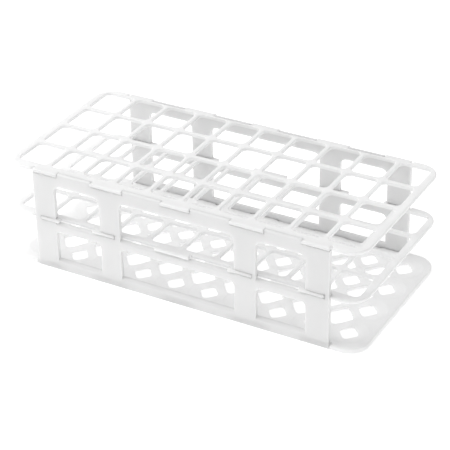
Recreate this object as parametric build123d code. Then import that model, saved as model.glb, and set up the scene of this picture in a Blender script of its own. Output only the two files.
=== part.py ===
from build123d import *
import os

# Test-tube rack that snaps together from five mouldings: three tiers held between two side panels.
# Millimetres. X runs along the rack, Y from the front panel to the back panel, Z up.
# The origin is the centre of the footprint, on the table.

# Whole rack
RACK_LENGTH = 265.0
RACK_DEPTH = 126.0
RACK_HEIGHT = 75.0
CORNER_RADIUS = 14.5

# Grid of tube places
COLUMNS = 10
ROWS = 4
COLUMN_PITCH = 25.7
ROW_PITCH = 28.9
RIB_WIDTH = 2.8
WELL_LENGTH = COLUMN_PITCH - RIB_WIDTH
WELL_DEPTH = ROW_PITCH - RIB_WIDTH
WELL_CORNER_RADIUS = 4.0
TOP_GRID_SHIFT = 1.6
MIDDLE_GRID_SHIFT = 0.8

# Tiers
TIER_THICKNESS = 2.6
TIER_EDGE_RADIUS = 0.9
WELL_EDGE_RADIUS = 0.5
MIDDLE_TIER_TOP = 39.6
BOTTOM_THICKNESS = 3.4

# Side panels
PANEL_LENGTH = 221.0
PANEL_THICKNESS = 3.0
PANEL_FACE_Y = RACK_DEPTH / 2
PANEL_INNER_Y = PANEL_FACE_Y - PANEL_THICKNESS
RAIL_EDGE_RADIUS = 1.9
BOTTOM_RAIL_TOP = 8.0
LOWER_WINDOW_TOP = 30.4
UPPER_WINDOW_TOP = 65.3
CENTRE_WINDOW_HALF = 43.0
SIDE_WINDOW_START = 58.5
SIDE_WINDOW_END = 94.0
UPPER_WINDOW_RADIUS = 5.0
LOWER_WINDOW_RADIUS = 3.5

# Fits between the tiers and the panels
CLEARANCE = 0.3
SETBACK_END_GAP = 0.8
SETBACK_CORNER_RADIUS = 0.9
TAB_PROUD = 0.5
SHORT_TAB_LENGTH = 1.9

# Tabs along the front edge as (start, end) in X; the back edge carries the same ones turned half round
OUTER_TABS = [(-110.2, -91.0), (-64.5, -40.0), (-10.8, 10.8), (40.0, 64.5), (91.0, 110.2)]
MIDDLE_TABS = [(-105.5, -91.5), (-64.5, -47.5), (-16.5, 9.5), (38.5, 55.5), (89.0, 107.0)]

# Bottom tier
SEAT_RADIUS = 13.4
SEAT_DEPTH = 1.6
SEAT_HOLE_DIAGONALS = (13.8, 16.0)
DRAIN_HOLE_DIAGONALS = (19.8, 23.8)
DIAMOND_CORNER_RADIUS = 2.0
UNDERSIDE_RELIEF = 1.2
FOOT_RIM_WIDTH = 4.2
FOOT_RIM_CORNER_RADIUS = CORNER_RADIUS - FOOT_RIM_WIDTH

TABLE = 0.0
SETBACK_HALF = PANEL_LENGTH / 2 + SETBACK_END_GAP
SETBACK_Y = PANEL_INNER_Y - CLEARANCE


def half_turned(shape):
    """The same shape turned half round about the vertical axis."""
    return Rot(0, 0, 180) * shape


def set_back_outline():
    """Rounded rectangle, set back along both long sides where the panels stand."""
    depth = RACK_DEPTH / 2 - SETBACK_Y
    setback = Pos(0, -SETBACK_Y - depth / 2) * Rectangle(2 * SETBACK_HALF, depth)
    outline = RectangleRounded(RACK_LENGTH, RACK_DEPTH, CORNER_RADIUS)
    outline = outline - setback - half_turned(setback)
    steps = [v for v in outline.vertices() if abs(abs(v.X) - SETBACK_HALF) < CLEARANCE]
    return fillet(steps, SETBACK_CORNER_RADIUS)


def tab_row(tabs, length):
    """Rectangles standing out from the front set-back edge, one for each tab."""
    row = Sketch()
    for start, end in tabs:
        # each rectangle starts inside the plate so that the two join
        depth = length + TIER_THICKNESS
        centre_y = -SETBACK_Y - length + depth / 2
        row += Pos((start + end) / 2, centre_y) * Rectangle(end - start, depth)
    return row


def tier_outline(tabs, length):
    """Set-back outline with its tabs along both long sides."""
    row = tab_row(tabs, length)
    return set_back_outline() + row + half_turned(row)


def open_tier(top, tabs, grid_shift):
    """Flat grid with one rounded rectangular well for each tube and softly rounded edges."""
    length = PANEL_FACE_Y + TAB_PROUD - SETBACK_Y
    plate = extrude(tier_outline(tabs, length), TIER_THICKNESS)
    rim = plate.faces().sort_by(Axis.Z)[-1].edges() + plate.faces().sort_by(Axis.Z)[0].edges()
    plate = fillet(rim, TIER_EDGE_RADIUS)
    wells = Sketch()
    for place in GridLocations(COLUMN_PITCH, ROW_PITCH, COLUMNS, ROWS):
        wells += place * RectangleRounded(WELL_LENGTH, WELL_DEPTH, WELL_CORNER_RADIUS)
    plate -= extrude(Pos(0, grid_shift) * wells, TIER_THICKNESS)
    inner = [e for f in (plate.faces().sort_by(Axis.Z)[-1], plate.faces().sort_by(Axis.Z)[0])
             for w in f.inner_wires() for e in w.edges()]
    plate = fillet(inner, WELL_EDGE_RADIUS)
    return Pos(0, 0, top - TIER_THICKNESS) * plate


def diamond(diagonals):
    """Rounded diamond with its diagonals along X and Y."""
    half_x = diagonals[0] / 2
    half_y = diagonals[1] / 2
    shape = Polygon((half_x, 0), (0, half_y), (-half_x, 0), (0, -half_y))
    return fillet(shape.vertices(), DIAMOND_CORNER_RADIUS)


def bottom_plate():
    """Solid floor with a dished seat and a drain hole for each tube, and a foot rim below."""
    plate = extrude(tier_outline(OUTER_TABS, SHORT_TAB_LENGTH), BOTTOM_THICKNESS)
    upper = plate.faces().sort_by(Axis.Z)[-1].edges()
    plate = fillet(upper, TIER_EDGE_RADIUS)
    relief = RectangleRounded(RACK_LENGTH - 2 * FOOT_RIM_WIDTH, 2 * (SETBACK_Y - FOOT_RIM_WIDTH),
                              FOOT_RIM_CORNER_RADIUS)
    plate -= extrude(relief, UNDERSIDE_RELIEF)
    sphere_radius = (SEAT_RADIUS ** 2 + SEAT_DEPTH ** 2) / (2 * SEAT_DEPTH)
    seat = Pos(0, 0, BOTTOM_THICKNESS - SEAT_DEPTH + sphere_radius) * Sphere(sphere_radius)
    holes = Sketch()
    for place in GridLocations(COLUMN_PITCH, ROW_PITCH, COLUMNS, ROWS):
        plate -= place * seat
        holes += place * diamond(SEAT_HOLE_DIAGONALS)
    for place in GridLocations(COLUMN_PITCH, ROW_PITCH, COLUMNS - 1, ROWS - 1):
        holes += place * diamond(DRAIN_HOLE_DIAGONALS)
    return plate - extrude(holes, BOTTOM_THICKNESS)


def window(start, end, bottom, top, radius):
    """Window cutter through the panel, square at the sill and rounded at the head."""
    shape = Pos((start + end) / 2, (bottom + top) / 2) * Rectangle(end - start, top - bottom)
    shape = fillet(shape.vertices().sort_by(Axis.Y)[-2:], radius)
    return Pos(0, -PANEL_INNER_Y, 0) * Rot(90, 0, 0) * extrude(shape, PANEL_THICKNESS)


def slot(start, end, bottom, top, depth):
    """Cutter for one tab, reaching outward from the inner face of the front panel."""
    length = end - start + 2 * CLEARANCE
    centre = ((start + end) / 2, -PANEL_INNER_Y - depth / 2, (bottom + top) / 2)
    return Pos(*centre) * Box(length, depth, top - bottom)


def side_panel():
    """Front panel: three rails and four uprights around six windows, with slots for the tabs."""
    panel = Pos(0, -PANEL_FACE_Y + PANEL_THICKNESS / 2, RACK_HEIGHT / 2)
    panel = panel * Box(PANEL_LENGTH, PANEL_THICKNESS, RACK_HEIGHT)
    sill = MIDDLE_TIER_TOP - TIER_THICKNESS - CLEARANCE
    spans = [(-SIDE_WINDOW_END, -SIDE_WINDOW_START), (-CENTRE_WINDOW_HALF, CENTRE_WINDOW_HALF),
             (SIDE_WINDOW_START, SIDE_WINDOW_END)]
    for start, end in spans:
        panel -= window(start, end, sill, UPPER_WINDOW_TOP, UPPER_WINDOW_RADIUS)
        panel -= window(start, end, BOTTOM_RAIL_TOP, LOWER_WINDOW_TOP, LOWER_WINDOW_RADIUS)
    face = panel.faces().sort_by(Axis.Y)[0]
    level = face.edges().filter_by(Axis.X)
    tops = [e for e in level for z in (BOTTOM_RAIL_TOP, sill, RACK_HEIGHT)
            if abs(e.center().Z - z) < CLEARANCE / 2]
    panel = fillet(tops, RAIL_EDGE_RADIUS)
    for start, end in OUTER_TABS:
        notch_floor = RACK_HEIGHT - TIER_THICKNESS - CLEARANCE
        panel -= slot(start, end, notch_floor, RACK_HEIGHT, PANEL_THICKNESS)
        pocket_depth = SHORT_TAB_LENGTH
        panel -= slot(start, end, TABLE, BOTTOM_THICKNESS + CLEARANCE, pocket_depth)
    for start, end in MIDDLE_TABS:
        panel -= slot(start, end, sill, MIDDLE_TIER_TOP + CLEARANCE, PANEL_THICKNESS)
    return panel


front = side_panel()
parts = {
    "top_tier": open_tier(RACK_HEIGHT, OUTER_TABS, TOP_GRID_SHIFT),
    "middle_tier": open_tier(MIDDLE_TIER_TOP, MIDDLE_TABS, MIDDLE_GRID_SHIFT),
    "bottom_tier": bottom_plate(),
    "front_panel": front,
    "back_panel": half_turned(front),
}
os.makedirs("parts", exist_ok=True)
for name, shape in parts.items():
    shape.label = name
    export_step(shape, f"parts/{name}.step")
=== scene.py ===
import math

import bpy
from mathutils import Matrix, Vector

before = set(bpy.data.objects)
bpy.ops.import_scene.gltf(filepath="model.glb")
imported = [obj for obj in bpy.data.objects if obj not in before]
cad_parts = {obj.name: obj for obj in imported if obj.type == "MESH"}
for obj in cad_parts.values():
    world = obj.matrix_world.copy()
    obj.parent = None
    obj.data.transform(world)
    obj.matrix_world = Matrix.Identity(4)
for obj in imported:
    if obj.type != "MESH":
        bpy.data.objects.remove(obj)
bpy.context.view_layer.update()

# ---------------------------------------------------------------------------------------------
# Bottom tier. The solid floor of the rack, one injection moulding in white polypropylene with a
# dished, pierced seat under every tube and drain holes between the seats. It stands on the table,
# held by short tabs that enter pockets in the two side panels.
# ---------------------------------------------------------------------------------------------


def linear(hex_colour):
    """sRGB hex to the linear RGBA that the shader sockets take."""
    channels = [int(hex_colour[i:i + 2], 16) / 255 for i in (1, 3, 5)]
    return [c / 12.92 if c <= 0.04045 else ((c + 0.055) / 1.055) ** 2.4 for c in channels] + [1.0]


def add_node(tree, kind, settings=None, links=None):
    """One node with its sockets set, and its inputs linked from other sockets."""
    node = tree.nodes.new(kind)
    for key, value in (settings or {}).items():
        node.inputs[key].default_value = value
    for key, source in (links or {}).items():
        tree.links.new(source, node.inputs[key])
    return node


# Streaks of melt, as the part of the noise they span and the roughness from dark to light
STREAK_SPAN = (0.35, 0.65)
GLOSS_SPAN = (0.3, 0.7)
GLOSS_ROUGHNESS = (0.36, 0.46)

# Sink and skin, as spacing in millimetres and depth in metres
SINK_MM = 9.0
SINK_DEPTH = 0.00006
SINK_STRENGTH = 0.35
SKIN_MM = 0.7
SKIN_DEPTH = 0.00004
SKIN_STRENGTH = 0.25

# Polypropylene itself: typical index, and how far light runs inside it
POLYPROPYLENE_IOR = 1.49
TRANSLUCENCY = 0.85
LIGHT_REACH = 0.0040
MM_PER_METRE = 1000


def moulded_polypropylene(name, light_tone, dark_tone, streak_mm):
    """White polypropylene: uneven melt flow, shallow sink and the skin left by the steel mould."""
    material = bpy.data.materials.new(name)
    material.use_nodes = True
    tree = material.node_tree
    tree.nodes.clear()
    place = add_node(tree, "ShaderNodeTexCoord").outputs["Object"]

    # the melt cools in broad streaks, a shade apart in colour and in gloss
    streaks = add_node(tree, "ShaderNodeTexNoise", {
        "Scale": MM_PER_METRE / streak_mm, "Detail": 3.0, "Distortion": 0.6,
    }, {"Vector": place}).outputs["Fac"]
    tone = add_node(tree, "ShaderNodeValToRGB", None, {"Fac": streaks})
    for stop, position, colour in zip(tone.color_ramp.elements, STREAK_SPAN, (dark_tone, light_tone)):
        stop.position = position
        stop.color = linear(colour)
    gloss = add_node(tree, "ShaderNodeMapRange", {
        "From Min": GLOSS_SPAN[0], "From Max": GLOSS_SPAN[1],
        "To Min": GLOSS_ROUGHNESS[0], "To Max": GLOSS_ROUGHNESS[1],
    }, {"Value": streaks})

    # thick places sink by a few hundredths of a millimetre, which bends the soft highlights
    sink = add_node(tree, "ShaderNodeTexNoise", {"Scale": MM_PER_METRE / SINK_MM, "Detail": 1.0},
                    {"Vector": place})
    sunk = add_node(tree, "ShaderNodeBump", {"Strength": SINK_STRENGTH, "Distance": SINK_DEPTH},
                    {"Height": sink.outputs["Fac"]})

    # spark-eroded skin, drawn a few times coarser than a usual one so that it survives the distance
    grain = add_node(tree, "ShaderNodeTexNoise", {"Scale": MM_PER_METRE / SKIN_MM, "Detail": 2.0},
                     {"Vector": place})
    skin = add_node(tree, "ShaderNodeBump", {"Strength": SKIN_STRENGTH, "Distance": SKIN_DEPTH},
                    {"Height": grain.outputs["Fac"], "Normal": sunk.outputs["Normal"]})

    # light runs a few millimetres into the plastic, so the thin ribs' walls are nearly as light
    # as their tops
    shader = add_node(tree, "ShaderNodeBsdfPrincipled", {
        "IOR": POLYPROPYLENE_IOR,
        "Subsurface Weight": TRANSLUCENCY,
        "Subsurface Radius": (1.0, 1.0, 1.0),
        "Subsurface Scale": LIGHT_REACH,
    }, {"Base Color": tone.outputs["Color"], "Roughness": gloss.outputs["Result"],
        "Normal": skin.outputs["Normal"]})
    add_node(tree, "ShaderNodeOutputMaterial", None, {"Surface": shader.outputs["BSDF"]})
    return material


def finish_in(node_name, material):
    """Gives one moulding its material."""
    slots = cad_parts[node_name].data.materials
    slots.clear()
    slots.append(material)


# A fine satin: even neutral white, soft spread-out highlights, no mirror reflections.
# The floor's tone is set lighter than the grids': painted light that makes up for the shade the upper
# tiers cast on it.
FLOOR_LIGHT_WITH_PAINTED_LIGHT = "#f8f8f8"
FLOOR_DARK_WITH_PAINTED_LIGHT = "#f4f4f4"
FLOOR_STREAK_MM = 38.0
finish_in("bottom_tier", moulded_polypropylene(
    "satin_moulded_polypropylene_floor_with_painted_light", FLOOR_LIGHT_WITH_PAINTED_LIGHT, FLOOR_DARK_WITH_PAINTED_LIGHT, FLOOR_STREAK_MM))

# ---------------------------------------------------------------------------------------------
# Side panels, front and back. The same white polypropylene moulding twice, turned half round:
# three rails and four uprights around six windows. They push over the tabs of the three tiers
# and hold the rack together.
# ---------------------------------------------------------------------------------------------

# Satin like the tiers, set a shade greyer than they are, with the longest streaks. The greyer
# tone is painted shade for the panels' upright faces, not a different plastic.
PANEL_LIGHT_WITH_PAINTED_SHADE = "#e6e6e6"
PANEL_DARK_WITH_PAINTED_SHADE = "#e2e2e2"
PANEL_STREAK_MM = 55.0
panel_plastic_with_painted_shade = moulded_polypropylene(
    "satin_moulded_polypropylene_panel_with_painted_shade", PANEL_LIGHT_WITH_PAINTED_SHADE, PANEL_DARK_WITH_PAINTED_SHADE, PANEL_STREAK_MM)
finish_in("front_panel", panel_plastic_with_painted_shade)
finish_in("back_panel", panel_plastic_with_painted_shade)

# ---------------------------------------------------------------------------------------------
# Middle tier. An open grid of forty wells, moulded flat in white polypropylene, that steadies the
# tubes at half height. Its tabs sit in the slots of the panels' middle rails.
# ---------------------------------------------------------------------------------------------

# Satin, with the shortest streaks, because melt that runs round every well meets again in the ribs.
GRID_LIGHT = "#f2f2f2"
GRID_DARK = "#eeeeee"
MIDDLE_STREAK_MM = 24.0
finish_in("middle_tier", moulded_polypropylene(
    "satin_moulded_polypropylene_middle_grid", GRID_LIGHT, GRID_DARK, MIDDLE_STREAK_MM))

# ---------------------------------------------------------------------------------------------
# Top tier. The same kind of open grid as the middle one, with its tabs lying flush in the notches
# along the upper edges of the panels, where their rounded ends show.
# ---------------------------------------------------------------------------------------------

# The same satin as the middle grid, with its streaks spaced a little wider so the two don't repeat.
TOP_STREAK_MM = 27.0
finish_in("top_tier", moulded_polypropylene(
    "satin_moulded_polypropylene_top_grid", GRID_LIGHT, GRID_DARK, TOP_STREAK_MM))

# ---------------------------------------------------------------------------------------------
# Studio. A white paper sweep lit until it shows no tone, an even white surround, and one large
# soft box above and to the left, which leaves the front side a shade darker than the top; the
# panels' greyer tone is painted shade that darkens that front side further.
# ---------------------------------------------------------------------------------------------
SWEEP_HALF = 4.0
PAPER_ROUGHNESS = 0.9
PAPER_GLOW = 0.35
sweep_mesh = bpy.data.meshes.new("sweep")
sweep_mesh.from_pydata(
    [(-SWEEP_HALF, -SWEEP_HALF, 0), (SWEEP_HALF, -SWEEP_HALF, 0), (SWEEP_HALF, SWEEP_HALF, 0),
     (-SWEEP_HALF, SWEEP_HALF, 0)], [], [(0, 1, 2, 3)])
sweep = bpy.data.objects.new("sweep", sweep_mesh)
bpy.context.scene.collection.objects.link(sweep)

paper = bpy.data.materials.new("matt_white_paper_sweep")
paper.use_nodes = True
paper_shader = paper.node_tree.nodes["Principled BSDF"]
paper_shader.inputs["Base Color"].default_value = linear("#ffffff")
paper_shader.inputs["Roughness"].default_value = PAPER_ROUGHNESS
paper_shader.inputs["Emission Color"].default_value = linear("#ffffff")
paper_shader.inputs["Emission Strength"].default_value = PAPER_GLOW
sweep_mesh.materials.append(paper)

SURROUND_STRENGTH = 0.58
world = bpy.data.worlds.new("studio_surround")
bpy.context.scene.world = world
world.use_nodes = True
world.node_tree.nodes["Background"].inputs["Color"].default_value = linear("#ffffff")
world.node_tree.nodes["Background"].inputs["Strength"].default_value = SURROUND_STRENGTH

SOFT_BOX_PLACE = Vector((-0.75, -0.15, 1.35))
SOFT_BOX_SIZE = 0.9
SOFT_BOX_POWER = 11.6
soft_box_data = bpy.data.lights.new("soft_box", "AREA")
soft_box_data.shape = "SQUARE"
soft_box_data.size = SOFT_BOX_SIZE
soft_box_data.energy = SOFT_BOX_POWER
soft_box = bpy.data.objects.new("soft_box", soft_box_data)
bpy.context.scene.collection.objects.link(soft_box)
soft_box.location = SOFT_BOX_PLACE
soft_box.rotation_euler = (-SOFT_BOX_PLACE).to_track_quat("-Z", "Y").to_euler()

# the sweep has to stay pure white, so tones are shown as they are and not rolled off
bpy.context.scene.view_settings.view_transform = "Standard"

# ---------------------------------------------------------------------------------------------
# Camera. A short telephoto a little over a metre away, looking down on the rack from the front
# right, so that the long front side and the right-hand end both show.
# ---------------------------------------------------------------------------------------------
CAMERA_AZIMUTH = math.radians(29.572)
CAMERA_ELEVATION = math.radians(30.597)
CAMERA_ROLL = math.radians(-1.026)
CAMERA_DISTANCE = 1.13312
CAMERA_TARGET = Vector((0.0, 0.0, 0.034))
CAMERA_SLIDE_RIGHT = 0.001216
CAMERA_SLIDE_UP = -0.005154
CAMERA_LENS_MM = 133.376
SENSOR_WIDTH_MM = 36.0
CAMERA_CLIP_START = 0.05
CAMERA_CLIP_END = 20.0

back = Vector((
    math.sin(CAMERA_AZIMUTH) * math.cos(CAMERA_ELEVATION),
    -math.cos(CAMERA_AZIMUTH) * math.cos(CAMERA_ELEVATION),
    math.sin(CAMERA_ELEVATION),
))
level_right = Vector((math.cos(CAMERA_AZIMUTH), math.sin(CAMERA_AZIMUTH), 0.0))
level_up = back.cross(level_right)
right = math.cos(CAMERA_ROLL) * level_right + math.sin(CAMERA_ROLL) * level_up
up = -math.sin(CAMERA_ROLL) * level_right + math.cos(CAMERA_ROLL) * level_up
camera_place = (CAMERA_TARGET + CAMERA_SLIDE_RIGHT * right + CAMERA_SLIDE_UP * up
                + CAMERA_DISTANCE * back)

camera_data = bpy.data.cameras.new("studio_camera")
camera_data.lens = CAMERA_LENS_MM
camera_data.sensor_width = SENSOR_WIDTH_MM
camera_data.clip_start = CAMERA_CLIP_START
camera_data.clip_end = CAMERA_CLIP_END
camera = bpy.data.objects.new("studio_camera", camera_data)
bpy.context.scene.collection.objects.link(camera)
camera.matrix_world = (Matrix.Translation(camera_place)
                       @ Matrix((right, up, back)).transposed().to_4x4())
bpy.context.scene.camera = camera
